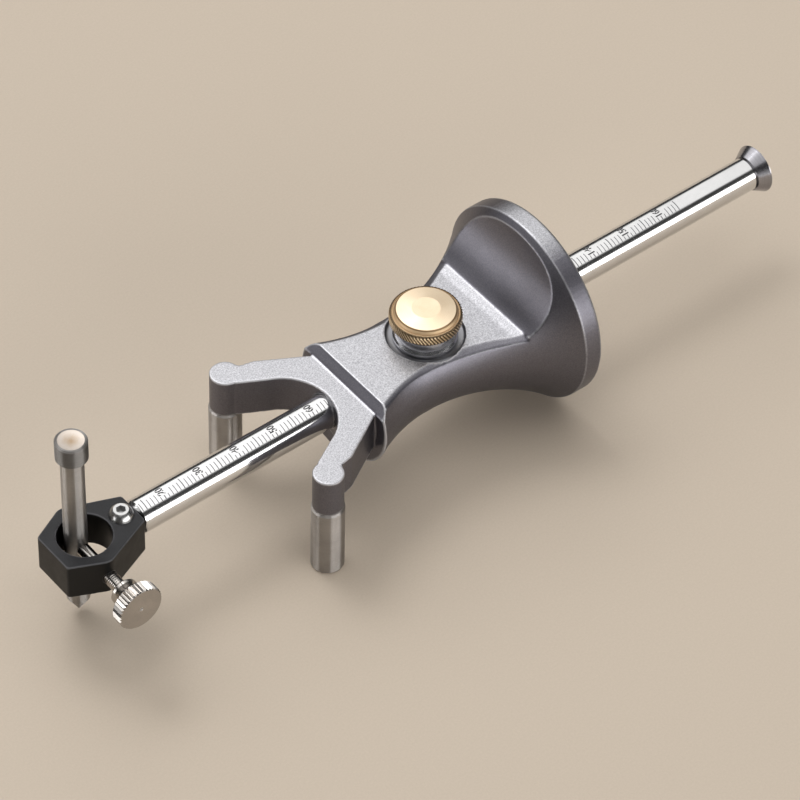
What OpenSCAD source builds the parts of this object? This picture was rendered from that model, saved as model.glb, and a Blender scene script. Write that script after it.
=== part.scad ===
// Carpenter's scribe: a marking gauge with a trumpet-shaped fence on a graduated rod,
// a scribing pin at one end of the rod and a cutting wheel at the other.
// Millimetres, +Z up, X along the rod. The origin is on the table under the middle of the tool.
// Inside the modules x is the reading on the rod's scale, whose zero is the scribe hole,
// and z is counted from the rod's axis.

/* [Rod] */
// Diameter of the rod
rod_d = 8; // [6.5:0.1:8.6]
// Scale reading at the shoulder where the cutting wheel sits
rod_end = 187; // [170:1:220]
// Length of the bevel at the rod's block end
rod_bevel = 0.8; // [0.4:0.1:1.2]
// Diameter of the spigot that enters the scribe block
spigot_d = 5; // [4:0.1:5.4]
// Length of the spigot
spigot_len = 6.2; // [5.5:0.1:6.4]
// Running clearance round the rod, on the radius
rod_clear = 0.04; // [0.02:0.01:0.08]

/* [Fence] */
// Scale reading of the fence face
fence_x = 123.8; // [115:0.1:135]
// Diameter of the fence disc
fence_d = 47.8; // [44:0.1:52]
// Thickness of the disc's rim
rim_t = 5; // [4:0.1:6]
// Bevel on both edges of the rim
rim_bevel = 0.45; // [0.35:0.05:0.8]
// Length of the fence from its face to the front of the body
fence_len = 54.3; // [52:0.1:58]
// Diameter of the body's front face
front_d = 30.4; // [28:0.1:32]
// Bevel round the front face
front_edge = 0.4; // [0.2:0.1:0.6]
// Diameter of the waist
waist_d = 22.4; // [21.5:0.1:23.5]
// Distance of the waist from the fence face
waist_back = 37.8; // [36:0.1:40]
// Length of the straight band at the waist
waist_band = 5; // [4.8:0.1:5.6]
// Height of the flat top above the rod's axis
flat_h = 7.1; // [6.6:0.1:7.5]
// Radius of the scooped thumb rest behind the flat
scoop_r = 20.1; // [19.5:0.1:21]
// Thickness left between the scoop and the fence face
scoop_wall = 5.8; // [5.4:0.1:6.2]
// Distance from the fence face to the start of the ramp at the scoop's foot
ramp_back = 17.1; // [16.5:0.1:17.5]
// Slope of that ramp
ramp_slope = 6; // [4:1:9]
// Width of the bevel along the front of the flat
front_bevel = 2.1; // [1.5:0.1:2.5]
// Width of the bevel along the sides of the flat, at the front and the waist
side_bevel = 0.9; // [0.5:0.1:1.2]
// Width of the same bevel at the scoop
side_bevel_rear = 1.1; // [0.8:0.1:1.6]
// Slope of that bevel
bevel_slope = 27; // [22:1:32]
// Diameter of the recess that takes the cutting wheel
wheel_recess_d = 13.4; // [12.8:0.1:16]
// Depth of that recess
wheel_recess = 5; // [4.6:0.1:6]

/* [Fork] */
// Thickness of the fork
fork_t = 10.3; // [9.4:0.1:10.8]
// Distance between the axes of the two legs
leg_spacing = 37; // [34:0.5:42]
// Distance of the legs' axes in front of the body
leg_reach = 18.4; // [17:0.1:21]
// Diameter of the bosses over the legs
boss_d = 7; // [6.6:0.1:7.6]
// Radius of the arch between the arms
arch_r = 12.2; // [11:0.1:13]
// Distance of the arch's top in front of the body
arch_gap = 4.7; // [4:0.1:5.4]
// Angle that the inner edges spread from the rod
arch_spread = 28.7; // [27:0.1:31]
// Half width of the fork where it leaves the body
root_w = 10.6; // [10:0.1:11.2]
// Distance of the arm's outer shoulder in front of the body
shoulder_reach = 11.3; // [10.5:0.1:12]
// Half width of the fork at that shoulder
shoulder_w = 17.7; // [17:0.1:18.4]
// Radius of the arm's outer shoulder
shoulder_r = 2.5; // [1.5:0.1:4]
// Radius of the fillet between an arm's shoulder and its boss
boss_fillet = 1.2; // [0.8:0.1:1.6]
// Radius of the fillet between an arm's inner edge and its boss
inner_fillet = 3; // [2:0.1:4]
// Diameter of the round neck behind the fork
neck_d = 23.6; // [22.5:0.1:24.5]
// Length of that neck
neck_len = 3.2; // [2.6:0.1:3.8]

/* [Legs] */
// Diameter of the legs
leg_d = 7.5; // [7:0.1:8.2]
// Bevel at both ends of a leg
leg_bevel = 0.4; // [0.2:0.1:0.7]
// Diameter of the spigot that holds a leg in its boss
leg_spigot_d = 4.6; // [4:0.1:5]
// Length of that spigot
leg_spigot = 7; // [5:0.1:8]

/* [Lock] */
// Distance of the lock's axis from the fence face
lock_back = 31.4; // [30:0.1:33]
// Diameter of the recess round the lock
recess_d = 17.8; // [17.4:0.1:18.4]
// Depth of that recess
recess_depth = 0.9; // [0.5:0.1:1.2]
// Diameter of the bush's collar
bush_d = 13.4; // [11:0.1:14]
// Height of the collar above the recess
bush_h = 4.1; // [3.5:0.1:5]
// Diameter of the flange at the collar's foot
bush_flange_d = 14.6; // [14.2:0.1:16]
// Height of that flange
bush_flange = 1.4; // [0.8:0.1:2]
// Diameter of the bush's shank in the body
bush_shank_d = 9; // [8:0.1:10]
// Length of that shank
bush_shank = 1.7; // [1.2:0.1:1.8]
// Diameter of the lock screw
lock_screw_d = 5; // [4:0.1:6]
// Diameter of the knob
knob_d = 16.4; // [15:0.1:18]
// Height of the knob's knurled band
knob_band = 2.7; // [2.4:0.1:3.6]
// Depth of the knurl, which the band's plain core leaves free
knurl_depth = 0.3; // [0.2:0.05:0.4]
// Bevel on the edges of the band and of the crown
knob_lip = 0.35; // [0.2:0.05:0.5]
// Width of the ring round the knob's crown
knob_ring = 0.85; // [0.75:0.05:1.3]
// Height of the knob's crown above the band
knob_crown = 0.85; // [0.7:0.05:1]
// Rise of the crown from its edge to the flat at its middle
knob_rise = 0.4; // [0.2:0.05:0.6]
// Diameter of that flat
knob_flat_d = 6.4; // [5.5:0.1:8]
// Gap between the bush and the locked knob
knob_gap = 0.8; // [0.6:0.1:1.4]
// Height of the pressure pad at its middle
pad_h = 2.2; // [1.6:0.1:2.6]

/* [Scribe block] */
// Thickness of the block
block_t = 9.4; // [9:0.1:10.5]
// Height of the block's top above the rod's axis
block_top = 3.5; // [3.3:0.1:4.5]
// Diameter of the scribe hole
hole_d = 12.1; // [11.4:0.1:12.4]
// Distance from the hole's axis to the block's front face
block_front = 8.4; // [8:0.1:10]
// Half width of the front face
front_w = 5.5; // [5:0.1:6]
// Half width of the block at its widest
block_w = 9.5; // [9.3:0.1:11]
// Distance from the hole's axis to the block's rear face
block_rear = 12.8; // [12.6:0.1:14]
// Half width of the rear face
rear_w = 4.3; // [4:0.1:5]
// Radius of the block's side corners
side_corner_r = 3; // [2:0.1:4]
// Radius of the block's other corners
corner_r = 0.7; // [0.4:0.1:1]
// Distance from the hole's axis to the block's screw
screw_x = 9.6; // [9.5:0.1:10]
// Diameter of the block screw's head
screw_head_d = 5.7; // [5:0.1:6]
// Height of that head
screw_head_h = 1.7; // [1.4:0.1:2]
// Diameter of the flat on top of that head
screw_flat_d = 3.4; // [3:0.1:3.8]
// Diameter of the block screw's thread
screw_d = 3; // [2.5:0.1:3.2]
// Hexagon key size of the block and wheel screws
key_size = 2; // [1.5:0.1:2.2]

/* [Scribe pin] */
// Diameter of the pin
pin_d = 5.2; // [4.6:0.1:5.6]
// Length of the pin from its tip to the top of its head
pin_len = 54; // [48:0.5:60]
// Height of the tip's cone
pin_tip = 4.5; // [3.5:0.1:6]
// Height of the tip above the table
tip_gap = 0.3; // [0.2:0.1:2]
// Diameter of the pin's head
pin_head_d = 7.2; // [6.4:0.1:8]
// Height of the pin's head
pin_head = 6; // [5:0.1:7]
// Bevel round the top of the head
head_bevel = 0.3; // [0.2:0.1:0.6]
// Width of the ring round the dish in the head's top
dish_ring = 0.3; // [0.2:0.1:0.6]
// Depth of that dish
head_dish = 0.2; // [0.1:0.05:0.4]
// Height of the taper under the head
head_taper = 1; // [0.5:0.1:1.5]
// Gap between the pin and the wall of the hole
pin_gap = 0.05; // [0.02:0.01:0.1]

/* [Thumb screw] */
// Diameter of the thumb screw's shank
thumb_d = 3.1; // [2.6:0.1:3.6]
// Depth of the thumb screw's axis below the block's top
thumb_drop = 5.3; // [4.4:0.1:6]
// Distance from the hole's axis to the outer face of the head
thumb_reach = 20.3; // [19:0.1:21.5]
// Diameter of the head
thumb_head_d = 11; // [10:0.1:12]
// Thickness of the head
thumb_head = 3.1; // [2.6:0.1:3.6]
// Number of ridges round the head
thumb_ridges = 40; // [30:2:50]
// Depth of the ridges
ridge_depth = 0.35; // [0.2:0.05:0.5]
// Length of the turned collar behind the head
thumb_collar = 4; // [3.4:0.1:4.2]
// Diameter of the collar's wide ring, on the block's side
thumb_ring_d = 6.4; // [6:0.1:7]
// Diameter of the groove between the collar's two rings
thumb_neck_d = 4.5; // [4:0.1:4.8]
// Diameter of the collar's narrow ring, next to the head
thumb_bead_d = 5.6; // [5.2:0.1:6]
// Bevel on both faces of the head
thumb_bevel = 0.4; // [0.3:0.1:0.8]
// Diameter of the centre mark on the head's face
dimple_d = 0.9; // [0.6:0.1:1.2]

/* [Cutting wheel] */
// Cutting diameter of the wheel
wheel_d = 11.6; // [11:0.1:12.4]
// Thickness of the wheel
wheel_t = 2.8; // [2.6:0.1:3.6]
// Width of the land at the cutting edge
wheel_land = 0.15; // [0.1:0.05:0.3]
// Diameter of the wheel's narrow side
wheel_back_d = 8.6; // [8.2:0.1:9.4]
// Diameter of the rod's nose behind the wheel
nose_d = 6.8; // [6:0.1:7.4]
// Length of that nose
nose_len = 0.5; // [0.3:0.1:0.8]
// Diameter of the wheel screw's thread
wheel_screw_d = 3; // [2.5:0.1:3.4]
// Diameter of the wheel screw's head
wheel_head_d = 5.6; // [5:0.1:6]
// Height of the wheel screw's head
wheel_head = 1.6; // [1.2:0.1:1.8]
// Length of thread in the rod
wheel_thread = 8; // [6:0.5:12]

/* [Hidden] */
$fn = 96;

// Clearance on the radius of turned pieces in their holes
fit_clear = 0.03;
// Overrun of a cut past the face that it opens
over = 1;
// A length that passes right through any piece
through = 80;
// Depth that the arms reach into the bosses
boss_bite = 0.3;
// Depth that the flare's arcs reach below the waist's band, so that they cross it
waist_dip = 0.05;
// Depth that the arch's straight edges lie inside its circle, so that they cross it
arch_dip = 0.05;
// Radius of the corners that lie inside another shape
hidden_r = 0.01;

rod_r = rod_d / 2;
rim_r = fence_d / 2;
table_z = -rim_r;
wheel_back_x = rod_end + nose_len;
wheel_face_x = wheel_back_x + wheel_t;
middle_x = (wheel_face_x - block_front) / 2;

// Fence profile: two arcs from the waist, one to the front of the body and one to the rim
body_front = fence_x - fence_len;
rim_front = fence_x - rim_t;
waist_r = waist_d / 2;
waist_x = fence_x - waist_back;
flare_top = rim_r - rim_bevel;
dip_r = waist_r - waist_dip;
flare_r = arc_through(rim_front - waist_x, flare_top - dip_r);
front_r = front_d / 2;
front_arc_r = arc_through(waist_x - body_front, front_r - dip_r);

// Scoop: a cylinder across the body, level with the top of the rim, with a ramp up to its foot
scoop_x = fence_x - scoop_wall - scoop_r;
scoop_z = rim_r;
ramp_start = [fence_x - ramp_back, flat_h];
ramp_run = [cos(ramp_slope), sin(ramp_slope)];
scoop_foot = circle_exit(ramp_start, ramp_run, [scoop_x, scoop_z], scoop_r).x;

// Bevel along the flat's curved sides: a cone round an upright axis beside the body
bevel_front_end = [body_front, flat_half(front_r) - side_bevel];
bevel_waist = [waist_x, flat_half(waist_r) - side_bevel];
bevel_rear_end = [scoop_foot, flat_half(flare_at(scoop_foot)) - side_bevel_rear];
bevel_centre = circle_centre(bevel_front_end, bevel_waist, bevel_rear_end);
bevel_r = norm(bevel_waist - bevel_centre);
bevel_run = 1 / tan(bevel_slope);

// Fork outline
boss = [body_front - leg_reach, leg_spacing / 2];
boss_r = boss_d / 2;
root = [body_front, root_w];
shoulder = [body_front - shoulder_reach, shoulder_w];
arch = [body_front - arch_gap - arch_r, 0];
arch_side = [sin(arch_spread), cos(arch_spread)];
arch_end = arch + (arch_r - arch_dip) * arch_side;
arch_mouth = leg_reach + boss_d;
shoulder_end = boss + [boss_r - boss_bite, 0];
shoulder_run = unit(shoulder - shoulder_end);
arch_run = [cos(arch_spread), -sin(arch_spread)];

// Legs
leg_top = -fork_t / 2;

// Lock
lock_x = fence_x - lock_back;
recess_z = flat_h - recess_depth;
bush_top = recess_z + bush_h;
knob_z = bush_top + knob_gap;
pad_z = rod_r + rod_clear;
pad_r = lock_screw_d / 2 - fit_clear;
lock_tip_z = pad_z + pad_h + fit_clear;

// Scribe block and the pieces in it
hole_r = hole_d / 2;
thumb_z = block_top - thumb_drop;
pin_y = hole_r - pin_gap - pin_d / 2;
pin_z = table_z + tip_gap;
thumb_tip = pin_y - pin_d / 2 - pin_gap;
block_outline = [[-block_front, -front_w], [0, -block_w], [block_rear, -rear_w],
                 [block_rear, rear_w], [0, block_w], [-block_front, front_w]];
block_corners = [corner_r, side_corner_r, corner_r, corner_r, side_corner_r, corner_r];

steel = [0.72, 0.72, 0.74];
bright_steel = [0.85, 0.85, 0.87];
dark_steel = [0.3, 0.3, 0.33];
brass = [0.83, 0.68, 0.4];
grey_anodised = [0.48, 0.48, 0.51];
black_anodised = [0.09, 0.09, 0.1];

function unit(v) = v / norm(v);
function turn_left(v) = [-v.y, v.x];

// Radius of the arc that rises by up over a run of along, starting level
function arc_through(along, up) = (along ^ 2 + up ^ 2) / (2 * up);

// Radius of the fence at scale reading x, behind the waist
function flare_at(x) = dip_r + flare_r - sqrt(flare_r ^ 2 - (x - waist_x) ^ 2);

// Half width of the flat where the body's radius is r
function flat_half(r) = sqrt(r ^ 2 - flat_h ^ 2);

// Point where the line that leaves p along the unit vector run, inside a circle, meets that circle
function circle_exit(p, run, centre, r) =
    let (ahead = run * (centre - p), off = norm(p + ahead * run - centre))
    p + (ahead + sqrt(r ^ 2 - off ^ 2)) * run;

// Centre of the circle through three points
function circle_centre(p, q, r) =
    let (u = q - p, v = r - q, d = 2 * (u.x * v.y - u.y * v.x), a = u * (p + q), b = v * (q + r))
    [a * v.y - b * u.y, b * u.x - a * v.x] / d;

// Centre of a fillet of radius f between a circle and the line through p that runs away from it:
// run is the line's direction and side is its free side
function blend_centre(centre, r, p, run, side, f) =
    let (off = side * (p - centre) + f)
    centre + off * side + sqrt((r + f) ^ 2 - off ^ 2) * run;

// Moves a piece from the scale's frame to the part's own
module home() {
    translate([-middle_x, 0, -table_z]) children();
}

// Turns a piece drawn along Z to lie along the rod, starting at scale reading x
module along_rod(x = 0) {
    translate([x, 0, 0]) rotate([0, 90, 0]) children();
}

// A round bar along Z with bevelled ends
module bevelled_bar(d, len, bevel) {
    rotate_extrude()
        polygon([[0, 0], [d / 2 - bevel, 0], [d / 2, bevel], [d / 2, len - bevel],
                 [d / 2 - bevel, len], [0, len]]);
}

// A convex outline whose corners are rounded by the radii given
module rounded_outline(points, radii) {
    n = len(points);
    ends = [for (i = [0 : n - 1]) let (
        back = unit(points[(i + n - 1) % n] - points[i]),
        ahead = unit(points[(i + 1) % n] - points[i]),
        half = acos(back * ahead) / 2
    ) [points[i] + back * radii[i] / tan(half),
       points[i] + ahead * radii[i] / tan(half),
       points[i] + unit(back + ahead) * radii[i] / sin(half)]];
    polygon([for (e = ends) each [e[0], e[1]]]);
    for (i = [0 : n - 1]) translate(ends[i][2]) circle(r = radii[i]);
}

// A hexagon socket, along Z
module key_socket(depth) {
    cylinder(d = key_size / cos(30), h = depth, $fn = 6);
}

// Fence body

// One end of the body, from the waist to scale reading x: a round bar hollowed by an arc
module flare(x, arc) {
    along_rod() rotate_extrude($fn = 180) difference() {
        translate([0, min(x, waist_x)]) square([flare_top, abs(x - waist_x)]);
        translate([dip_r + arc, waist_x]) circle(r = arc, $fn = 360);
    }
}

// Bevel round the body's front face
module front_edge_cut() {
    along_rod(body_front) rotate_extrude($fn = 180)
        polygon([[front_r - front_edge, 0], [front_r + over, front_edge + over], [front_r + over, -over],
                 [front_r - front_edge, -over]]);
}

module trumpet() {
    difference() {
        flare(body_front, front_arc_r);
        front_edge_cut();
    }
    flare(rim_front, flare_r);
    along_rod(waist_x - waist_band / 2) cylinder(r = waist_r, h = waist_band, $fn = 180);
    along_rod(rim_front) bevelled_bar(fence_d, rim_t, rim_bevel);
}

// Side view of what is cut away over the flat and the scoop: x across, z upwards
module scoop_section() {
    translate([body_front - over, flat_h]) square([scoop_x + over - body_front, through]);
    intersection() {
        translate([scoop_x, scoop_z]) circle(r = scoop_r, $fn = 180);
        polygon([[scoop_x - over, flat_h], ramp_start, ramp_start + through * ramp_run,
                 [scoop_x - over, through]]);
    }
    translate([scoop_x, scoop_z]) square([scoop_r, through]);
}

module scoop_cut() {
    translate([0, through / 2, 0]) rotate([90, 0, 0]) linear_extrude(through) scoop_section();
}

// Bevels between the flat and the body's round sides
module side_bevels() {
    for (side = [-1, 1]) intersection() {
        translate([bevel_centre.x, side * bevel_centre.y, 0])
            cylinder(r1 = bevel_r - flat_h * bevel_run, r2 = bevel_r + over * bevel_run,
                     h = flat_h + over, $fn = 180);
        translate([0, -through / 2, 0]) cube([scoop_foot, through, through]);
    }
}

// Bevel between the flat and the front of the body
module front_bevel_cut() {
    translate([body_front + front_bevel, -through / 2, flat_h]) rotate([0, -45, 0])
        translate([-through / 2, 0, 0]) cube([through, through, through / 2]);
}

// Fills the corner between a boss and the line through p, down to a round fillet
module boss_blend(p, run, side, f) {
    centre = blend_centre(boss, boss_r, p, run, side, f);
    difference() {
        polygon([boss, centre, centre - f * side]);
        translate(centre) circle(r = f);
    }
}

// Plan of one arm, on the +Y side
module arm_outline() {
    difference() {
        rounded_arm();
        translate(arch) circle(r = arch_r);
        polygon([arch, arch_end, arch_end + arch_mouth * turn_left(arch_side), arch - [through, 0]]);
    }
    translate(boss) circle(r = boss_r);
    boss_blend(shoulder, shoulder_run, turn_left(shoulder_run), boss_fillet);
    boss_blend(arch_end, arch_run, -arch_side, inner_fillet);
}

// The arm before the arch is cut: root, shoulder and a straight run into the boss
module rounded_arm() {
    rounded_outline([root + [over, 0], shoulder, shoulder_end, boss, [boss.x, 0], [root.x + over, 0]],
                    [hidden_r, shoulder_r, hidden_r, hidden_r, hidden_r, hidden_r]);
}

module fork() {
    for (side = [0, 1]) mirror([0, side, 0])
        translate([0, 0, -fork_t / 2]) linear_extrude(fork_t) arm_outline();
    intersection() {
        along_rod(body_front - neck_len) cylinder(d = neck_d, h = neck_len + over);
        translate([0, -through / 2, fork_t / 2 - through]) cube([2 * through, through, through]);
    }
}

module fence_body() {
    color(grey_anodised) home() difference() {
        union() {
            difference() {
                trumpet();
                scoop_cut();
                side_bevels();
                front_bevel_cut();
            }
            fork();
        }
        along_rod() cylinder(r = rod_r + rod_clear, h = fence_x + over);
        along_rod(fence_x - wheel_recess) cylinder(d = wheel_recess_d, h = wheel_recess + over);
        translate([lock_x, 0, recess_z]) cylinder(d = recess_d, h = through);
        translate([lock_x, 0, recess_z - bush_shank]) cylinder(r = bush_shank_d / 2 + fit_clear, h = through);
        translate([lock_x, 0, 0]) cylinder(d = lock_screw_d, h = through);
        for (side = [-1, 1]) translate([boss.x, side * boss.y, leg_top - over])
            cylinder(r = leg_spigot_d / 2 + fit_clear, h = leg_spigot + 2 * over);
    }
}

// Legs

module leg(side) {
    color(steel) home() translate([boss.x, side * boss.y, 0]) {
        translate([0, 0, table_z]) bevelled_bar(leg_d, leg_top - table_z, leg_bevel);
        translate([0, 0, leg_top - over]) cylinder(d = leg_spigot_d, h = leg_spigot + over);
    }
}

module left_leg() {
    leg(1);
}

module right_leg() {
    leg(-1);
}

// Lock

module lock_bush() {
    color(steel) home() translate([lock_x, 0, recess_z]) difference() {
        union() {
            bevelled_bar(bush_d, bush_h, rim_bevel);
            bevelled_bar(bush_flange_d, bush_flange, bush_flange / 4);
            translate([0, 0, -bush_shank]) cylinder(d = bush_shank_d, h = bush_shank + over);
        }
        translate([0, 0, -bush_shank - over]) cylinder(r = lock_screw_d / 2 + fit_clear, h = through);
    }
}

// Half section of the knob, from the underside of its band upwards
module knob_section() {
    knob_r = knob_d / 2;
    core_r = knob_r - knurl_depth;
    groove_r = knob_r - knob_ring;
    top = knob_band + knob_crown;
    difference() {
        polygon([[0, 0], [core_r - knob_lip, 0], [core_r, knob_lip], [core_r, knob_band - knob_lip],
                 [core_r - knob_lip, knob_band], [groove_r, knob_band], [groove_r - knob_lip, top - knob_lip],
                 [groove_r - 2 * knob_lip, top], [knob_flat_d / 2, top + knob_rise], [0, top + knob_rise]]);
        translate([groove_r, knob_band]) circle(r = knob_lip / 2, $fn = 32);
    }
}

module lock_knob() {
    color(brass) home() translate([lock_x, 0, 0]) {
        translate([0, 0, knob_z]) rotate_extrude() knob_section();
        translate([0, 0, lock_tip_z]) cylinder(d = lock_screw_d, h = knob_z - lock_tip_z + over);
    }
}

module pressure_pad() {
    color(brass) home() difference() {
        translate([lock_x, 0, 0]) cylinder(r = pad_r, h = pad_z + pad_h);
        along_rod() cylinder(r = pad_z, h = 2 * lock_x);
    }
}

// Rod and the pieces on it

module scale_rod() {
    color(bright_steel) home() difference() {
        union() {
            along_rod(block_rear) rotate_extrude()
                polygon([[0, 0], [rod_r - rod_bevel, 0], [rod_r, rod_bevel], [rod_r, rod_end - block_rear],
                         [nose_d / 2, rod_end - block_rear], [nose_d / 2, wheel_back_x - block_rear],
                         [0, wheel_back_x - block_rear]]);
            along_rod(block_rear - spigot_len) cylinder(d = spigot_d, h = spigot_len + over);
        }
        translate([screw_x, 0, -spigot_d]) cylinder(r = screw_d / 2 + fit_clear, h = 2 * spigot_d);
        along_rod(wheel_back_x - wheel_thread)
            cylinder(r = wheel_screw_d / 2 + fit_clear, h = wheel_thread + over);
    }
}

module scribe_block() {
    color(black_anodised) home() difference() {
        translate([0, 0, block_top - block_t]) linear_extrude(block_t) difference() {
            rounded_outline(block_outline, block_corners);
            circle(d = hole_d);
        }
        along_rod(block_rear - spigot_len) cylinder(r = spigot_d / 2 + fit_clear, h = spigot_len + over);
        translate([screw_x, 0, -spigot_d / 2 - over]) cylinder(r = screw_d / 2 + fit_clear, h = through);
        translate([0, 0, thumb_z]) rotate([90, 0, 0]) cylinder(r = thumb_d / 2 + fit_clear, h = through);
    }
}

module block_screw() {
    head_r = screw_head_d / 2;
    dome_z = (screw_head_h ^ 2 + (screw_flat_d / 2) ^ 2 - head_r ^ 2) / (2 * screw_head_h);
    dome_r = norm([head_r, dome_z]);
    screw_len = block_top + spigot_d / 2;
    color(steel) home() translate([screw_x, 0, block_top]) difference() {
        union() {
            rotate_extrude() intersection() {
                translate([0, dome_z]) circle(r = dome_r);
                square([head_r, screw_head_h]);
            }
            translate([0, 0, -screw_len]) cylinder(d = screw_d, h = screw_len + over / 2);
        }
        translate([0, 0, screw_head_h / 3]) key_socket(screw_head_h);
    }
}

module scribe_pin() {
    pin_r = pin_d / 2;
    head_r = pin_head_d / 2;
    dish_r = arc_through(head_r - head_bevel - dish_ring, head_dish);
    color(steel) home() translate([0, pin_y, pin_z]) difference() {
        rotate_extrude()
            polygon([[0, 0], [pin_r, pin_tip], [pin_r, pin_len - pin_head],
                     [head_r, pin_len - pin_head + head_taper], [head_r, pin_len - head_bevel],
                     [head_r - head_bevel, pin_len], [0, pin_len]]);
        translate([0, 0, pin_len - head_dish + dish_r]) sphere(r = dish_r);
    }
}

// Plan of the thumb screw's ridged head
module ridged_disc() {
    head_r = thumb_head_d / 2;
    polygon([for (i = [0 : 2 * thumb_ridges - 1]) let (
        r = head_r - (i % 2) * ridge_depth,
        angle = i * 180 / thumb_ridges
    ) r * [cos(angle), sin(angle)]]);
}

// Half section of the collar, from the block's side to the head
module collar_section() {
    ring_r = thumb_ring_d / 2;
    neck_r = thumb_neck_d / 2;
    bead_r = thumb_bead_d / 2;
    step = thumb_collar / 6;
    polygon([[0, 0], [ring_r - step, 0], [ring_r, step], [ring_r, 2 * step], [ring_r - step, 3 * step],
             [neck_r, 3 * step], [neck_r, 4 * step], [bead_r, 4.5 * step], [bead_r, thumb_collar],
             [0, thumb_collar]]);
}

module thumb_screw() {
    head_back = thumb_reach - thumb_head;
    color(bright_steel) home() translate([0, 0, thumb_z]) rotate([90, 0, 0]) difference() {
        union() {
            translate([0, 0, -thumb_tip]) cylinder(d = thumb_d, h = thumb_tip + head_back);
            translate([0, 0, head_back - thumb_collar]) rotate_extrude() collar_section();
            translate([0, 0, head_back]) intersection() {
                linear_extrude(thumb_head) ridged_disc();
                bevelled_bar(thumb_head_d + 2 * fit_clear, thumb_head, thumb_bevel);
            }
        }
        translate([0, 0, thumb_reach - dimple_d / 3]) cylinder(d1 = 0, d2 = 3 * dimple_d, h = dimple_d);
    }
}

module cutter_wheel() {
    color(dark_steel) home() along_rod(wheel_back_x) difference() {
        rotate_extrude()
            polygon([[0, 0], [wheel_back_d / 2, 0], [wheel_d / 2, wheel_t - wheel_land],
                     [wheel_d / 2, wheel_t], [0, wheel_t]]);
        translate([0, 0, -over]) cylinder(r = wheel_screw_d / 2 + fit_clear, h = wheel_t + 2 * over);
        translate([0, 0, wheel_t - wheel_head])
            cylinder(r = wheel_head_d / 2 + fit_clear, h = wheel_head + over);
    }
}

module wheel_screw() {
    color(steel) home() along_rod(wheel_face_x - wheel_head) difference() {
        union() {
            cylinder(d = wheel_head_d, h = wheel_head);
            translate([0, 0, wheel_head - wheel_t - wheel_thread + over])
                cylinder(d = wheel_screw_d, h = wheel_t + wheel_thread - over - wheel_head / 2);
        }
        translate([0, 0, wheel_head / 3]) key_socket(wheel_head);
    }
}

fence_body();
left_leg();
right_leg();
lock_bush();
lock_knob();
pressure_pad();
scale_rod();
scribe_block();
block_screw();
scribe_pin();
thumb_screw();
cutter_wheel();
wheel_screw();
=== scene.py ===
"""Looks of a carpenter's scribe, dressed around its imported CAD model. Metres, in the frame of the CAD."""
import math

import bpy
from mathutils import Matrix, Vector


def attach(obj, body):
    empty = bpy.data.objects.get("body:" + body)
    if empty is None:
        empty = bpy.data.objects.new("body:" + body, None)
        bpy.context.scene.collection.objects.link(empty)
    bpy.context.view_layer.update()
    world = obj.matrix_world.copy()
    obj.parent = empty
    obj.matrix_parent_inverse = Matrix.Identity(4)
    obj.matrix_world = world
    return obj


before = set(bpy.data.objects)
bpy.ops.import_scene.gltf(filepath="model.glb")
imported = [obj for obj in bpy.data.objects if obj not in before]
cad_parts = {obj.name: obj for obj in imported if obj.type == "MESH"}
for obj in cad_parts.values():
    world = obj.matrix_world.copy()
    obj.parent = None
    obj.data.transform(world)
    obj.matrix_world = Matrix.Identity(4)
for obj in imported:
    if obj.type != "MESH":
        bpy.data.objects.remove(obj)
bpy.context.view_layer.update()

MM = 0.001
AXIS_X = Vector((1, 0, 0))
AXIS_Y = Vector((0, 1, 0))
AXIS_Z = Vector((0, 0, 1))

# Camera: the photograph's place and directions, its lens on a 36 mm wide sensor
CAMERA_PLACE = (-0.44049, -0.52496, 0.74567)
CAMERA_RIGHT = Vector((0.78325, -0.62137, 0.02015))
CAMERA_UP = Vector((0.44411, 0.58191, 0.68129))
CAMERA_AHEAD = Vector((0.43506, 0.52467, -0.73174))
SENSOR_WIDTH = 36.0
LENS = 202.34
CLIP_NEAR = 0.05
CLIP_FAR = 20

# Rod and its scale; arcs are measured round the rod from its top, towards the thumb screw's side
ROD_R = 4.0 * MM
ROD_Z = 23.9 * MM
SCALE_ZERO = -90.95 * MM
SCALE_FIRST = 14
SCALE_LAST = 165
NUMBERS = range(20, 170, 10)
MARK_HEIGHT = 0.006 * MM
TICK_WIDTH = 0.17 * MM
TICK_WIDTH_FIVE = 0.22 * MM
TICK_BASE = 2.25 * MM
TICK_LENGTH = 2.1 * MM
TICK_LENGTH_FIVE = 2.8 * MM
TICK_LENGTH_NUMBER = 0.95 * MM
TICK_STEPS = 8
NUMBER_HEIGHT = 1.9 * MM
NUMBER_SLIM = 0.82
NUMBER_ARC = 1.12 * MM
NUMBER_BACK = 0.3 * MM
NUMBER_STROKE = 0.03
NUMBER_CURVE_STEPS = 4

# Lock knob: its band and the knurl on it, with the share of the crossing ridges, the share of its height at the
# band's ends and how many run-ins go into the band, then the crown's edge and the painted shade line round it
LOCK_X = 1.45 * MM
KNOB_BASE_Z = 35.0 * MM
KNOB_BAND = 2.7 * MM
KNOB_LIP = 0.35 * MM
KNOB_CORE_R = 7.9 * MM
KNURL_DEPTH = 0.3 * MM
KNURL_COUNT = 64
KNURL_TURN = 2.2
KNURL_STEPS = 10
KNURL_ROWS = 22
KNURL_CROSS = 0.12
KNURL_END = 0.45
KNURL_RUN_INS = 6
CROWN_R = 6.65 * MM
CROWN_SHADE_LINE = 0.2 * MM

# Pin's head, the dish in it, and the skin of that dish
PIN_TOP = 54.3 * MM
PIN_HEAD_Z = 48.6 * MM
DISH_R = 3.0 * MM
DISH_DEPTH = 0.2 * MM
SKIN = 0.01 * MM
SKIN_R = 2.9 * MM
SKIN_AROUND = 48
SKIN_ROWS = 8

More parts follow.
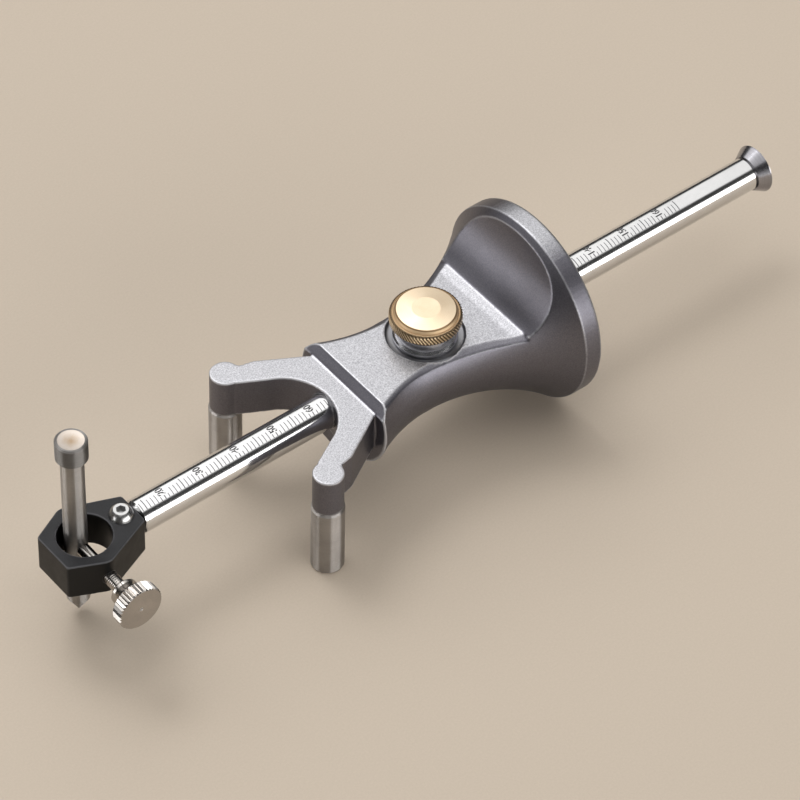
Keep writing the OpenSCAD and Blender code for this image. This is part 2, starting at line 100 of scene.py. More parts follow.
# Thread on the thumb screw's shank, between the block and the collar; its half width is a share of the pitch
THREAD_R = 1.52 * MM
THREAD_DEPTH = 0.13 * MM
THREAD_PITCH = 0.5 * MM
THREAD_FROM = -9.35 * MM
THREAD_TO = -13.1 * MM
THREAD_HALF = 0.45
THREAD_STEPS = 24

# Centres of turned pieces, for the marks that turning leaves, and the spot face round the lock
PIN_CENTRE = (SCALE_ZERO, 3.4 * MM, 0)
THUMB_CENTRE = (SCALE_ZERO, 0, 22.1 * MM)
LEG_X = -39.85 * MM
LEG_Y = 18.5 * MM
LOCK_CENTRE = (LOCK_X, 0, 0)
ROD_CENTRE = (0, 0, ROD_Z)
BLOCK_SCREW_CENTRE = (SCALE_ZERO + 9.6 * MM, 0, 0)
SPOT_FACE_R = 8.95 * MM
SPOT_FACE_Z = 30.7 * MM

# Marks of turning: their pitch and depth, and the share of rubbed patches in the tone
MARK_PITCH = 0.09 * MM
MARK_DEPTH = 0.0012 * MM
RUBBED_PATCH = 5 * MM
RUBBED_SHARE = 0.35

# A face is a top, painted paler as where the overhead light falls, from the first of these upward shares of its
# normal, and fully so at the second
TOP_FADE = (0.88, 0.98)

# Bends at which an edge starts to show wear and a painted highlight and fully does so, and how much of that paler
# edge tone shows
WEAR_HIGHLIGHT_START = 0.06
WEAR_HIGHLIGHT_FULL = 0.2
WEAR_HIGHLIGHT_SHARE = 0.5

# Rounding of edges: how close points are joined, the even mesh's size, and the smoothing
JOIN_REACH = 0.0005 * MM
FENCE_VOXEL = 0.25 * MM
BLOCK_VOXEL = 0.15 * MM
SMOOTH_FACTOR = 0.5
SMOOTH_PASSES = 5

# Light: an overhead panel that leans towards +Y, low soft boxes at the left and the right, a dim room and a lamp.
# Each edge of the panel, and the top of the boxes, has the place where it is dark and the place where it is full.
# A box has its strength, the side on which it stands, and half its width where it starts to fade and where it ends
PANEL_LIGHT = 1.62
PANEL_LEAN = math.radians(17)
PANEL_EDGE = (0.62, 0.76)
PANEL_PIN_END = (-0.6, -0.35)
PANEL_WHEEL_END = (0.82, 0.32)
BOX_TOP = (0.48, 0.34)
LEFT_BOX = (3.2, math.radians(162), math.radians(17), math.radians(21))
RIGHT_BOX = (4.3, math.radians(-80), math.radians(27), math.radians(32))
ROOM_LIGHT = 0.05
LIGHT_COLOUR = (1.0, 0.99, 0.975, 1.0)
KEY_PLACE = Vector((-0.05, 0.6, 1.15))
KEY_SIZE = 0.5
KEY_POWER = 3.2

# Turning marks round an upright axis spread reflections along that axis
ALONG_AXIS = {"Anisotropic": 1.0, "Anisotropic_Rotation": 0.25}

# Name under which the rounded nodes keep how sharply they bend
BEND = "bend"

FLOOR_SIZE = 6.0
FLOOR_DROP = 0.02 * MM


def add_node(tree, kind, inputs=None, **settings):
    """Adds a node to a tree. inputs maps a socket's name or number to a value or to the socket that feeds it."""
    made = tree.nodes.new(kind)
    for name, value in settings.items():
        setattr(made, name, value)
    for key, value in (inputs or {}).items():
        if isinstance(value, bpy.types.NodeSocket):
            tree.links.new(value, made.inputs[key])
        else:
            made.inputs[key].default_value = value
    return made


def math_node(tree, operation, a, b=0.0):
    return add_node(tree, "ShaderNodeMath", {0: a, 1: b}, operation=operation).outputs[0]


def vector_node(tree, operation, a, b):
    return add_node(tree, "ShaderNodeVectorMath", {0: a, 1: b}, operation=operation).outputs


def new_group(name, inputs, outputs):
    """A shader node group: inputs are (name, socket type, default), outputs are names of float sockets."""
    group = bpy.data.node_groups.new(name, "ShaderNodeTree")
    for label, kind, default in inputs:
        group.interface.new_socket(label, in_out="INPUT", socket_type=kind).default_value = default
    for label in outputs:
        group.interface.new_socket(label, in_out="OUTPUT", socket_type="NodeSocketFloat")
    return group, group.nodes.new("NodeGroupInput").outputs, group.nodes.new("NodeGroupOutput").inputs


def make_grain_group():
    """Even, fine grain of a blasted or anodised surface, with a slower drift of its tone."""
    group, given, result = new_group(
        "fine_grain", [("Grain Size", "NodeSocketFloat", 0.2 * MM)], ["Grain", "Drift"])
    place = add_node(group, "ShaderNodeTexCoord").outputs["Object"]
    density = math_node(group, "DIVIDE", 1.0, given["Grain Size"])
    slow = math_node(group, "DIVIDE", density, 30.0)
    fine = add_node(group, "ShaderNodeTexNoise",
                    {"Vector": place, "Scale": density, "Detail": 2.0, "Roughness": 0.6})
    drift = add_node(group, "ShaderNodeTexNoise",
                     {"Vector": place, "Scale": slow, "Detail": 3.0, "Roughness": 0.5})
    group.links.new(fine.outputs["Fac"], result["Grain"])
    group.links.new(drift.outputs["Fac"], result["Drift"])
    return group


def make_turning_group():
    """Marks that a lathe leaves: rings on faces across the axis, bands on faces along it."""
    group, given, result = new_group(
        "turning_marks",
        [("Centre", "NodeSocketVector", (0, 0, 0)), ("Axis", "NodeSocketVector", (0, 0, 1)),
         ("Pitch", "NodeSocketFloat", 0.1 * MM)],
        ["Rings", "Bands", "Radius"])
    place = add_node(group, "ShaderNodeTexCoord").outputs["Object"]
    offset = vector_node(group, "SUBTRACT", place, given["Centre"])["Vector"]
    along = vector_node(group, "DOT_PRODUCT", offset, given["Axis"])["Value"]
    across = vector_node(group, "CROSS_PRODUCT", offset, given["Axis"])["Vector"]
    radius = add_node(group, "ShaderNodeVectorMath", {0: across}, operation="LENGTH").outputs["Value"]
    for distance, label in ((radius, "Rings"), (along, "Bands")):
        turns = math_node(group, "DIVIDE", distance, given["Pitch"])
        marks = add_node(group, "ShaderNodeTexNoise",
                         {"W": turns, "Scale": 1.0, "Detail": 2.0, "Roughness": 0.7}, noise_dimensions="1D")
        group.links.new(marks.outputs["Fac"], result[label])
    group.links.new(radius, result["Radius"])
    return group


def make_handling_group():
    """Faint smudges and rubbed patches that handling leaves."""
    group, given, result = new_group("handling", [("Patch Size", "NodeSocketFloat", 6 * MM)], ["Rubbed"])
    place = add_node(group, "ShaderNodeTexCoord").outputs["Object"]
    density = math_node(group, "DIVIDE", 1.0, given["Patch Size"])
    patches = add_node(group, "ShaderNodeTexNoise",
                       {"Vector": place, "Scale": density, "Detail": 4.0, "Roughness": 0.55, "Distortion": 0.4})
    rubbed = add_node(group, "ShaderNodeMapRange",
                      {"Value": patches.outputs["Fac"], "From Min": 0.35, "From Max": 0.65}, clamp=True)
    group.links.new(rubbed.outputs["Result"], result["Rubbed"])
    return group


def make_edge_group():
    """Edges brightened by wear and by a painted highlight: a mask from how sharply the surface bends outwards."""
    group, given, result = new_group(
        "edge_wear_and_highlight", [("Start", "NodeSocketFloat", 0.05), ("Full", "NodeSocketFloat", 0.2)], ["Worn"])
    bend = add_node(group, "ShaderNodeAttribute", attribute_name=BEND).outputs["Fac"]
    worn = add_node(group, "ShaderNodeMapRange",
                    {"Value": bend, "From Min": given["Start"], "From Max": given["Full"]})
    group.links.new(worn.outputs["Result"], result["Worn"])
    return group


GRAIN = make_grain_group()
TURNING = make_turning_group()
HANDLING = make_handling_group()
EDGE_WEAR_AND_HIGHLIGHT = make_edge_group()


class Finish:
    """A material under construction: its node tree and the effects placed in it."""

    def __init__(self, name):
        self.material = bpy.data.materials.new(name)
        self.material.use_nodes = True
        self.tree = self.material.node_tree
        self.tree.nodes.clear()

    def effect(self, group, **values):
        made = add_node(self.tree, "ShaderNodeGroup", node_tree=group)
        for label, value in values.items():
            made.inputs[label.replace("_", " ")].default_value = value
        return made.outputs

    def blend(self, mask, low, high):
        """A colour that goes from low to high with the mask."""
        mix = add_node(self.tree, "ShaderNodeMix", data_type="RGBA")
        colours = [s for s in mix.inputs if s.type == "RGBA"]
        self.tree.links.new(mask, mix.inputs[0])
        for socket, value in zip(colours, (low, high)):
            if isinstance(value, bpy.types.NodeSocket):
                self.tree.links.new(value, socket)
            else:
                socket.default_value = (*value, 1.0)
        return [s for s in mix.outputs if s.type == "RGBA"][0]

    def between(self, mask, low, high, mask_low=0.3, mask_high=0.7):
        """A number that goes from low to high with the mask."""
        ranged = add_node(self.tree, "ShaderNodeMapRange", {
            "Value": mask, "From Min": mask_low, "From Max": mask_high, "To Min": low, "To Max": high})
        return ranged.outputs["Result"]

    def choose(self, mask, plain, marked):
        """The number plain where the mask is 0, and marked where it is 1."""
        return add_node(self.tree, "ShaderNodeMix", {0: mask, 2: plain, 3: marked}).outputs[0]

    def scaled(self, value, factor):
        return math_node(self.tree, "MULTIPLY", value, factor)

    def upright(self, kind):
        """The Z part of a texture coordinate: height above the table, or how far a face looks up."""
        coordinate = add_node(self.tree, "ShaderNodeTexCoord").outputs[kind]
        return add_node(self.tree, "ShaderNodeSeparateXYZ", {0: coordinate}).outputs["Z"]

    def top(self):
        """A mask of the faces that look up, for the painted light on tops."""
        return self.between(self.upright("Normal"), 0.0, 1.0, *TOP_FADE)

    def worn(self):
        """A mask of the edges with wear and a painted highlight."""
        return self.effect(EDGE_WEAR_AND_HIGHLIGHT, Start=WEAR_HIGHLIGHT_START, Full=WEAR_HIGHLIGHT_FULL)["Worn"]

    def mixed(self, a, b, share):
        """a and b added together, with the given share of b."""
        return math_node(self.tree, "ADD", self.scaled(a, 1.0 - share), self.scaled(b, share))

    def close(self, colour, roughness, height, depth, metallic=1.0, **constants):
        """Ends the material with its shader. depth is the bump's real depth."""
        bump = add_node(self.tree, "ShaderNodeBump",
                        {"Height": height, "Distance": depth, "Strength": 1.0})
        shader = add_node(self.tree, "ShaderNodeBsdfPrincipled", {
            "Base Color": colour, "Roughness": roughness, "Metallic": metallic,
            "Normal": bump.outputs["Normal"]})
        for label, value in constants.items():
            shader.inputs[label.replace("_", " ")].default_value = value
        end = add_node(self.tree, "ShaderNodeOutputMaterial")
        self.tree.links.new(shader.outputs["BSDF"], end.inputs["Surface"])
        return self.material


def make_blasted_grey():
    """Sandblasted and anodised body, with painted light: its tops are painted paler than its turned sides as where
    the overhead light falls, its edges carry wear and a painted highlight, and the spot face round the lock is
    painted darker as shade under the knob.
    """
    finish = Finish("blasted_grey")
    tree = finish.tree
    grain = finish.effect(GRAIN, Grain_Size=0.3 * MM)
    rubbed = finish.effect(HANDLING, Patch_Size=9 * MM)["Rubbed"]
    lock = finish.effect(TURNING, Centre=LOCK_CENTRE, Axis=AXIS_Z, Pitch=0.12 * MM)
    inside = math_node(tree, "LESS_THAN", lock["Radius"], SPOT_FACE_R)
    low = math_node(tree, "LESS_THAN", finish.upright("Object"), SPOT_FACE_Z)
    spot = math_node(tree, "MULTIPLY", inside, low)
    speck = finish.between(grain["Grain"], 0.0, 1.0, 0.32, 0.68)
    # painted light: tops painted paler and sides darker, as where the overhead light falls and where it does not
    sides = finish.blend(speck, (0.134, 0.13, 0.151), (0.177, 0.173, 0.196))
    pale = finish.blend(speck, (0.31, 0.31, 0.33), (0.59, 0.59, 0.62))
    blasted = finish.blend(finish.top(), sides, pale)
    worn = finish.worn()
    # wear and painted highlight: edges painted paler and less metallic, so they light up from any side
    edged = finish.blend(finish.scaled(worn, WEAR_HIGHLIGHT_SHARE), blasted, (0.66, 0.66, 0.68))
    # painted shade: the spot face round the lock is painted darker, as shade under the knob; its rings and gloss
    # are its own
    colour = finish.blend(spot, edged, (0.28, 0.28, 0.295))
    rough = math_node(tree, "ADD", finish.between(grain["Drift"], 0.38, 0.46), finish.scaled(rubbed, -0.03))
    height = finish.choose(spot, grain["Grain"], lock["Rings"])
    metallic = finish.between(worn, 1.0, 0.45, 0.0, 1.0)
    return finish.close(colour, finish.choose(spot, rough, 0.3), height, 0.016 * MM, metallic)


def make_turned_metal(name, centre, axis, dark, light, smooth, rough, pitch=MARK_PITCH, depth=MARK_DEPTH,
                      rings=0.5, dull=0.0, **constants):
    """Bare turned metal: tone, gloss and relief follow the lathe's marks. Within the radius dull it is matt."""
    finish = Finish(name)
    turning = finish.effect(TURNING, Centre=centre, Axis=axis, Pitch=pitch)
    rubbed = finish.effect(HANDLING, Patch_Size=RUBBED_PATCH)["Rubbed"]
    marks = finish.mixed(turning["Rings"], turning["Bands"], 1.0 - rings)
    tone = finish.mixed(finish.between(marks, 0.0, 1.0), rubbed, RUBBED_SHARE)
    gloss = finish.between(tone, rough, smooth, 0.0, 1.0)
    if dull:
        middle = finish.between(turning["Radius"], 0.7, 0.0, 0.5 * dull, dull)
        gloss = math_node(finish.tree, "MAXIMUM", gloss, middle)
    return finish.close(finish.blend(tone, dark, light), gloss, marks, depth, **constants)


def make_pin_steel():
    """Steel of the pin: turned along its shank, and dull and darker on its head."""
    finish = Finish("pin_steel")
    turning = finish.effect(TURNING, Centre=PIN_CENTRE, Axis=AXIS_Z, Pitch=MARK_PITCH)
    rubbed = finish.effect(HANDLING, Patch_Size=RUBBED_PATCH)["Rubbed"]
    tone = finish.mixed(finish.between(turning["Bands"], 0.0, 1.0), rubbed, RUBBED_SHARE)
    head = finish.between(finish.upright("Object"), 0.0, 1.0, PIN_HEAD_Z, PIN_HEAD_Z + 0.3 * MM)
    shank = finish.blend(tone, (0.3, 0.284, 0.27), (0.5, 0.482, 0.466))
    dull = finish.blend(tone, (0.2, 0.19, 0.182), (0.34, 0.328, 0.316))
    gloss = finish.between(tone, 0.39, 0.34, 0.0, 1.0)
    colour = finish.blend(head, shank, dull)
    return finish.close(colour, finish.choose(head, gloss, 0.55), turning["Bands"], MARK_DEPTH, **ALONG_AXIS)


def make_stained_steel():
    """Matt steel of the pin's dish, brown with stain in the middle."""
    finish = Finish("stained_steel")
    turning = finish.effect(TURNING, Centre=PIN_CENTRE, Axis=AXIS_Z, Pitch=0.12 * MM)
    patches = finish.effect(HANDLING, Patch_Size=1.2 * MM)["Rubbed"]
    clean = finish.mixed(finish.between(turning["Radius"], 0.0, 1.0, 0.3 * MM, 2.2 * MM), patches, 0.25)
    colour = finish.blend(clean, (0.34, 0.25, 0.165), (0.55, 0.5, 0.455))
    return finish.close(colour, finish.between(patches, 0.45, 0.55, 0.0, 1.0), turning["Rings"], 0.004 * MM)


def make_turned_brass():
    """Brass of the knob: a satin crown with a painted shade line round it where its low wall stands, and a matt
    ring outside that.
    """
    finish = Finish("turned_brass")
    turning = finish.effect(TURNING, Centre=LOCK_CENTRE, Axis=AXIS_Z, Pitch=MARK_PITCH)
    rubbed = finish.effect(HANDLING, Patch_Size=RUBBED_PATCH)["Rubbed"]
    tone = finish.mixed(finish.between(turning["Rings"], 0.0, 1.0), rubbed, RUBBED_SHARE)
    crown = finish.blend(tone, (0.75, 0.59, 0.4), (0.89, 0.745, 0.56))
    ring = finish.blend(tone, (0.56, 0.41, 0.25), (0.68, 0.51, 0.33))
    outside = finish.between(turning["Radius"], 0.0, 1.0, CROWN_R - 0.1 * MM, CROWN_R)
    before_ring = finish.between(turning["Radius"], 1.0, 0.0, CROWN_R + CROWN_SHADE_LINE, CROWN_R + 1.5 * CROWN_SHADE_LINE)
    # painted shade: a dark line painted round the crown's edge, as the shading of the wall between crown and ring
    line = math_node(finish.tree, "MULTIPLY", outside, before_ring)
    colour = finish.blend(line, finish.blend(outside, crown, ring), (0.3, 0.2, 0.11))
    gloss = finish.between(tone, 0.42, 0.3, 0.0, 1.0)
    return finish.close(colour, finish.choose(outside, gloss, 0.58), turning["Rings"], MARK_DEPTH)


def make_knurled_brass():
    """Brass of the knurl: its grooves painted dark as painted shade, and its crests rubbed bright."""
    finish = Finish("knurled_brass")
    turning = finish.effect(TURNING, Centre=LOCK_CENTRE, Axis=AXIS_Z, Pitch=0.05 * MM)
    grain = finish.effect(GRAIN, Grain_Size=0.08 * MM)
    crest = finish.between(turning["Radius"], 0.0, 1.0,
                           KNOB_CORE_R + 0.35 * KNURL_DEPTH, KNOB_CORE_R + 0.95 * KNURL_DEPTH)
    tone = finish.mixed(crest, finish.between(grain["Grain"], 0.0, 1.0), 0.2)
    # painted shade in the grooves; the bright crests are rubbed brass
    colour = finish.blend(tone, (0.055, 0.032, 0.014), (0.84, 0.67, 0.45))
    return finish.close(colour, finish.between(tone, 0.45, 0.26, 0.0, 1.0), turning["Bands"], 0.001 * MM)


def make_black_anodised():
    """Black anodised block: deep black on its sides, its top painted a little paler as painted light where the
    overhead light falls, and its edges painted with wear and a painted highlight.
    """
    finish = Finish("black_anodised")
    grain = finish.effect(GRAIN, Grain_Size=0.12 * MM)
    rubbed = finish.effect(HANDLING, Patch_Size=4 * MM)["Rubbed"]
    tone = finish.mixed(finish.between(grain["Grain"], 0.0, 1.0), rubbed, 0.3)
    sides = finish.blend(tone, (0.001, 0.001, 0.0012), (0.003, 0.003, 0.0034))
    painted_lit_top = finish.blend(tone, (0.008, 0.008, 0.0095), (0.022, 0.022, 0.025))
    # painted light: the top is painted paler than the sides, as where the overhead light falls
    plain = finish.blend(finish.top(), sides, painted_lit_top)
    # wear and painted highlight: edges painted paler
    colour = finish.blend(finish.scaled(finish.worn(), WEAR_HIGHLIGHT_SHARE), plain, (0.13, 0.13, 0.14))
    return finish.close(colour, finish.between(grain["Drift"], 0.38, 0.46), grain["Grain"], 0.008 * MM,
                        metallic=0.0, Specular_IOR_Level=0.25)


def make_engraving(name, dark, light):
    """Dull fill of the scale's marks."""
    finish = Finish(name)
    grain = finish.effect(GRAIN, Grain_Size=0.05 * MM)
    colour = finish.blend(finish.between(grain["Grain"], 0.0, 1.0), dark, light)
    roughness = finish.between(grain["Drift"], 0.5, 0.65)
    return finish.close(colour, roughness, grain["Grain"], 0.002 * MM, metallic=0.0)


def make_bend_tool():
    """A geometry node group that keeps the bend at each point, outwards above zero, for the edges with wear and a
    painted highlight.
    """
    tool = bpy.data.node_groups.new("keep_bend", "GeometryNodeTree")
    tool.interface.new_socket("Geometry", in_out="INPUT", socket_type="NodeSocketGeometry")
    tool.interface.new_socket("Geometry", in_out="OUTPUT", socket_type="NodeSocketGeometry")
    given = tool.nodes.new("NodeGroupInput").outputs["Geometry"]
    angle = add_node(tool, "GeometryNodeInputMeshEdgeAngle").outputs["Signed Angle"]
    even = add_node(tool, "GeometryNodeBlurAttribute",
                    {"Value": angle, "Iterations": 2}, data_type="FLOAT")
    keep = add_node(tool, "GeometryNodeStoreNamedAttribute", {
        "Geometry": given, "Name": BEND, "Value": even.outputs["Value"]}, data_type="FLOAT", domain="POINT")
    tool.links.new(keep.outputs["Geometry"], tool.nodes.new("NodeGroupOutput").inputs["Geometry"])
    return tool


BEND_TOOL = make_bend_tool()


def soften(name, voxel):
    """Rounds all edges of a CAD node a little, with modifiers: an even fine mesh, smoothed in a few passes."""
    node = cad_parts[name]
    weld = node.modifiers.new("join_faces", "WELD")
    weld.merge_threshold = JOIN_REACH
    even = node.modifiers.new("even_mesh", "REMESH")
    even.mode = "VOXEL"
    even.voxel_size = voxel
    even.use_smooth_shade = True
    smooth = node.modifiers.new("round_edges", "SMOOTH")
    smooth.factor = SMOOTH_FACTOR
    smooth.iterations = SMOOTH_PASSES
    node.modifiers.new("keep_bend", "NODES").node_group = BEND_TOOL


def dress(name, material):
    """Gives a CAD node its finish."""
    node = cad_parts[name]
    node.data.materials.clear()
    node.data.materials.append(material)


def new_piece(name, vertices, faces, material, body, smooth=False):
    """A mesh piece that rides on a body."""
    mesh = bpy.data.meshes.new(name)
    mesh.from_pydata(vertices, [], faces)
    mesh.validate()
    mesh.update()
    piece = bpy.data.objects.new(name, mesh)
    bpy.context.scene.collection.objects.link(piece)
    mesh.materials.append(material)
    mesh.polygons.foreach_set("use_smooth", [smooth] * len(mesh.polygons))
    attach(piece, body)


def on_rod(x, arc, lift):
    """The point on the rod at a place along it and an arc round it, raised by lift."""
    angle = arc / ROD_R
    r = ROD_R + lift
    return (x, -r * math.sin(angle), ROD_Z + r * math.cos(angle))


def make_scale_ticks(material):
    """Millimetre ticks: longer at each five, and short where a number stands."""
    vertices, faces = [], []
    for mm in range(SCALE_FIRST, SCALE_LAST + 1):
        near_number = min(mm % 10, 10 - mm % 10) <= 1
        width, length = (TICK_WIDTH_FIVE, TICK_LENGTH_FIVE) if mm % 5 == 0 else (TICK_WIDTH, TICK_LENGTH)
        if near_number:
            length = TICK_LENGTH_NUMBER
        x = SCALE_ZERO + mm * MM
        first = len(vertices)
        for i in range(TICK_STEPS + 1):
            arc = TICK_BASE - length * i / TICK_STEPS
            for side in (-0.5, 0.5):
                vertices.append(on_rod(x + side * width, arc, MARK_HEIGHT))
        for i in range(TICK_STEPS):
            a = first + 2 * i
            faces.append((a, a + 1, a + 3, a + 2))
    new_piece("scale_ticks", vertices, faces, material, "rod", smooth=True)


def number_mesh(text):
    """A number's filled outline: points and faces, one unit high, the middle of its left side at the origin."""
    curve = bpy.data.curves.new("number", "FONT")
    curve.body = text
    curve.offset = NUMBER_STROKE
    curve.resolution_u = NUMBER_CURVE_STEPS
    letter = bpy.data.objects.new("number", curve)
    bpy.context.scene.collection.objects.link(letter)
    bpy.context.view_layer.update()
    mesh = bpy.data.meshes.new_from_object(letter)
    bpy.data.objects.remove(letter)
    points = [v.co.copy() for v in mesh.vertices]
    faces = [tuple(p.vertices) for p in mesh.polygons]
    bpy.data.meshes.remove(mesh)
    left = min(p.x for p in points)
    bottom, top = min(p.y for p in points), max(p.y for p in points)
    height, middle = top - bottom, (top + bottom) / 2
    return [((p.x - left) / height, (p.y - middle) / height) for p in points], faces


def make_scale_numbers(material):
    """Millimetre numbers that all start on one line, with their tops towards the scale's zero."""
    vertices, faces = [], []
    for mm in NUMBERS:
        points, outline = number_mesh(str(mm))
        first = len(vertices)
        x = SCALE_ZERO + mm * MM - NUMBER_BACK
        for across, up in points:
            arc = NUMBER_ARC - across * NUMBER_SLIM * NUMBER_HEIGHT
            vertices.append(on_rod(x - up * NUMBER_HEIGHT, arc, MARK_HEIGHT))
        faces += [tuple(first + i for i in face) for face in outline]
    new_piece("scale_numbers", vertices, faces, material, "rod", smooth=True)


def knurl_height(turn, row):
    """Height of the knurl, from 0 to 1, at a share of the full turn and of the band's height."""
    a = (turn * KNURL_COUNT + row * KNURL_TURN) % 1.0
    b = (turn * KNURL_COUNT - row * KNURL_TURN) % 1.0
    ridge_a, ridge_b = 1 - abs(2 * a - 1), 1 - abs(2 * b - 1)
    return min(1.0, ridge_a + KNURL_CROSS * ridge_b)


def make_knob_knurl(material):
    """Knurled band round the knob, over its plain core."""
    around = KNURL_COUNT * KNURL_STEPS
    low, high = KNOB_BASE_Z + 0.25 * KNOB_LIP, KNOB_BASE_Z + KNOB_BAND - 0.25 * KNOB_LIP
    inner, base = KNOB_CORE_R - KNOB_LIP, KNOB_CORE_R - 0.5 * KNOB_LIP
    vertices, faces = [], []
    for row in range(KNURL_ROWS + 3):
        share = min(max((row - 1) / KNURL_ROWS, 0), 1)
        ends = row in (0, KNURL_ROWS + 2)
        ease = min(1.0, KNURL_RUN_INS * share, KNURL_RUN_INS * (1 - share))
        for i in range(around):
            angle = 2 * math.pi * i / around
            crest = KNOB_CORE_R + KNURL_DEPTH * knurl_height(i / around, share)
            r = inner if ends else base + (crest - base) * (KNURL_END + (1 - KNURL_END) * ease)
            vertices.append((LOCK_X + r * math.cos(angle), r * math.sin(angle), low + (high - low) * share))
    for row in range(KNURL_ROWS + 2):
        for i in range(around):
            j = (i + 1) % around
            a, b = row * around, (row + 1) * around
            faces.append((a + i, a + j, b + j, b + i))
    new_piece("knob_knurl", vertices, faces, material, "knob", smooth=True)


def make_pin_dish(material):
    """The matt skin of the shallow dish in the pin's head."""
    ball = (DISH_R ** 2 + DISH_DEPTH ** 2) / (2 * DISH_DEPTH)
    floor_z = PIN_TOP - DISH_DEPTH + SKIN
    x, y = PIN_CENTRE[:2]
    vertices = [(x, y, floor_z)]
    for row in range(1, SKIN_ROWS + 1):
        r = SKIN_R * row / SKIN_ROWS
        rise = ball - math.sqrt(ball ** 2 - r ** 2)
        for i in range(SKIN_AROUND):
            angle = 2 * math.pi * i / SKIN_AROUND
            vertices.append((x + r * math.cos(angle), y + r * math.sin(angle), floor_z + rise))
    sides = [(i, (i + 1) % SKIN_AROUND) for i in range(SKIN_AROUND)]
    faces = [(0, 1 + i, 1 + j) for i, j in sides]
    for row in range(SKIN_ROWS - 1):
        a, b = 1 + row * SKIN_AROUND, 1 + (row + 1) * SKIN_AROUND
        faces += [(a + i, b + i, b + j, a + j) for i, j in sides]
    new_piece("pin_dish", vertices, faces, material, "pin", smooth=True)


def make_thumb_thread(material):
    """The helical thread on the open part of the thumb screw's shank."""
    turns = (THREAD_FROM - THREAD_TO) / THREAD_PITCH
    profile = ((-THREAD_HALF, 0), (0, THREAD_DEPTH), (THREAD_HALF, 0))
    vertices, faces = [], []
    count = int(turns * THREAD_STEPS)
    for i in range(count + 1):
        angle = 2 * math.pi * i / THREAD_STEPS
        ease = min(1.0, i / THREAD_STEPS, (count - i) / THREAD_STEPS)
        for shift, height in profile:
            r = THREAD_R + height * ease
            y = THREAD_FROM - THREAD_PITCH * (i / THREAD_STEPS + shift * ease)
            vertices.append((THUMB_CENTRE[0] + r * math.cos(angle), y, THUMB_CENTRE[2] + r * math.sin(angle)))
    for i in range(count):
        a = 3 * i
        faces += [(a, a + 1, a + 4, a + 3), (a + 1, a + 2, a + 5, a + 4)]
    new_piece("thumb_thread", vertices, faces, material, "thumb")


def make_floor():
    """Plain pale floor."""
    half = FLOOR_SIZE / 2
    mesh = bpy.data.meshes.new("floor")
    corners = ((-half, -half), (half, -half), (half, half), (-half, half))
    mesh.from_pydata([(x, y, -FLOOR_DROP) for x, y in corners], [], [(0, 1, 2, 3)])
    floor = bpy.data.objects.new("floor", mesh)
    bpy.context.scene.collection.objects.link(floor)
    finish = Finish("pale_floor")
    grain = finish.effect(GRAIN, Grain_Size=0.5 * MM)
    colour = finish.blend(finish.between(grain["Grain"], 0.0, 1.0),
                          (0.53, 0.452, 0.365), (0.56, 0.478, 0.39))
    roughness = finish.between(grain["Grain"], 0.6, 0.66)
    mesh.materials.append(finish.close(colour, roughness, grain["Grain"], 0.01 * MM,
                                       metallic=0.0, Specular_IOR_Level=0.3))


def make_camera():
    """Camera at the photograph's viewing angle."""
    camera = bpy.data.cameras.new("camera")
    camera.sensor_width = SENSOR_WIDTH
    camera.lens = LENS
    camera.clip_start = CLIP_NEAR
    camera.clip_end = CLIP_FAR
    holder = bpy.data.objects.new("camera", camera)
    bpy.context.scene.collection.objects.link(holder)
    turn = Matrix((CAMERA_RIGHT, CAMERA_UP, -CAMERA_AHEAD)).transposed().to_4x4()
    holder.matrix_world = Matrix.Translation(CAMERA_PLACE) @ turn
    bpy.context.scene.camera = holder


def make_world():
    """Studio surround: a long soft panel overhead, low soft boxes at both sides, and a dim room between them."""
    world = bpy.data.worlds.new("studio")
    bpy.context.scene.world = world
    world.use_nodes = True
    tree = world.node_tree
    tree.nodes.clear()
    direction = add_node(tree, "ShaderNodeTexCoord").outputs["Generated"]
    x, y, z = add_node(tree, "ShaderNodeSeparateXYZ", {0: direction}).outputs

    def fade(value, start, end, strength=1.0):
        """Goes smoothly from nothing at start to the strength at end."""
        return add_node(tree, "ShaderNodeMapRange", {
            "Value": value, "From Min": start, "From Max": end, "To Min": 0.0, "To Max": strength},
            interpolation_type="SMOOTHSTEP").outputs["Result"]

    def product(a, b):
        return math_node(tree, "MULTIPLY", a, b)

    def turned(a, b, angle):
        """How far a direction goes along the line at an angle from a towards b."""
        return math_node(tree, "ADD", product(a, math.cos(angle)), product(b, math.sin(angle)))

    def rest_of(part):
        """Length of what a direction has left across one of its parts."""
        return math_node(tree, "SQRT", math_node(tree, "SUBTRACT", 1.0, product(part, part)))

    overhead = math_node(tree, "DIVIDE", turned(z, y, PANEL_LEAN), rest_of(x))
    panel = fade(overhead, *PANEL_EDGE, PANEL_LIGHT)
    panel = product(panel, fade(x, *PANEL_PIN_END))
    panel = product(panel, fade(x, *PANEL_WHEEL_END))
    total = math_node(tree, "ADD", panel, ROOM_LIGHT)
    for light, side, full, end in (LEFT_BOX, RIGHT_BOX):
        facing = math_node(tree, "DIVIDE", turned(x, y, side), rest_of(z))
        box = fade(facing, math.cos(end), math.cos(full), light)
        total = math_node(tree, "ADD", total, product(box, fade(z, *BOX_TOP)))
    background = add_node(tree, "ShaderNodeBackground", {"Color": LIGHT_COLOUR, "Strength": total})
    end = add_node(tree, "ShaderNodeOutputWorld")
    tree.links.new(background.outputs["Background"], end.inputs["Surface"])


def make_key_lamp():
    """A round soft lamp behind the tool, aimed at its middle."""
    lamp = bpy.data.lights.new("key_lamp", "AREA")
    lamp.shape = "DISK"
    lamp.size = KEY_SIZE
    lamp.energy = KEY_POWER
    holder = bpy.data.objects.new("key_lamp", lamp)
    bpy.context.scene.collection.objects.link(holder)
    holder.location = KEY_PLACE
    holder.rotation_euler = (-KEY_PLACE).to_track_quat("-Z", "Y").to_euler()


make_camera()
make_world()
make_floor()
make_key_lamp()

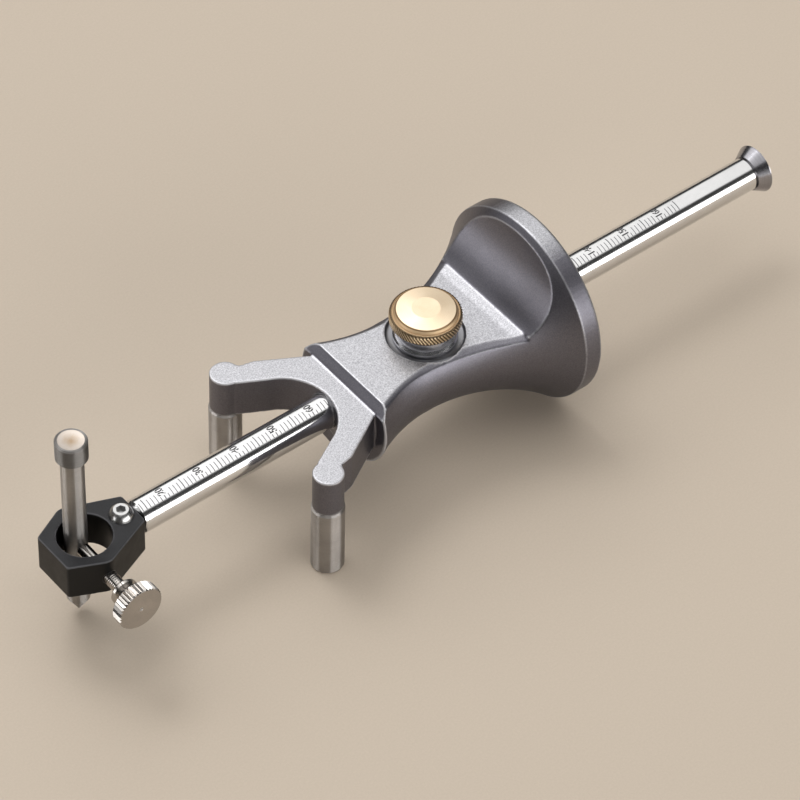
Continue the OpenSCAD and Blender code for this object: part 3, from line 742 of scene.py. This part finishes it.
blasted_grey = make_blasted_grey()
leg_steel = {
    leg: make_turned_metal("leg_steel_" + leg, (LEG_X, y, 0), AXIS_Z, dark=(0.31, 0.288, 0.272),
                           light=(0.5, 0.48, 0.462), smooth=0.34, rough=0.39, rings=0.0, **ALONG_AXIS)
    for leg, y in (("left", LEG_Y), ("right", -LEG_Y))}
pin_steel = make_pin_steel()
stained_steel = make_stained_steel()
bush_steel = make_turned_metal("bush_steel", LOCK_CENTRE, AXIS_Z, dark=(0.46, 0.46, 0.48),
                               light=(0.62, 0.62, 0.64), smooth=0.16, rough=0.26)
rod_steel = make_turned_metal("rod_steel", ROD_CENTRE, AXIS_X, dark=(0.64, 0.64, 0.645),
                              light=(0.76, 0.76, 0.765), smooth=0.1, rough=0.18,
                              pitch=0.06 * MM, depth=0.0003 * MM, rings=0.0)
brass = make_turned_brass()
knurled_brass = make_knurled_brass()
nickel = make_turned_metal("bright_nickel", THUMB_CENTRE, AXIS_Y, dark=(0.35, 0.33, 0.31),
                           light=(0.52, 0.495, 0.47), smooth=0.14, rough=0.26, dull=0.7 * MM)
screw_steel = make_turned_metal("screw_steel", BLOCK_SCREW_CENTRE, AXIS_Z, dark=(0.38, 0.38, 0.38),
                                light=(0.54, 0.54, 0.54), smooth=0.24, rough=0.32)
wheel_steel = make_turned_metal("wheel_steel", ROD_CENTRE, AXIS_X, dark=(0.25, 0.245, 0.265),
                                light=(0.43, 0.425, 0.45), smooth=0.17, rough=0.27)
black_anodised = make_black_anodised()
tick_grey = make_engraving("tick_grey", (0.08, 0.08, 0.085), (0.17, 0.17, 0.175))
number_black = make_engraving("number_black", (0.012, 0.012, 0.013), (0.04, 0.04, 0.042))

for node_name, material in {
    "fence_body": blasted_grey, "left_leg": leg_steel["left"], "right_leg": leg_steel["right"],
    "lock_bush": bush_steel, "lock_knob": brass, "pressure_pad": brass, "scale_rod": rod_steel,
    "scribe_block": black_anodised, "block_screw": screw_steel, "scribe_pin": pin_steel,
    "thumb_screw": nickel, "cutter_wheel": wheel_steel, "wheel_screw": wheel_steel,
}.items():
    dress(node_name, material)

soften("fence_body", FENCE_VOXEL)
soften("scribe_block", BLOCK_VOXEL)

make_scale_ticks(tick_grey)
make_scale_numbers(number_black)
make_knob_knurl(knurled_brass)
make_pin_dish(stained_steel)
make_thumb_thread(nickel)

bpy.context.scene.view_settings.view_transform = "Standard"
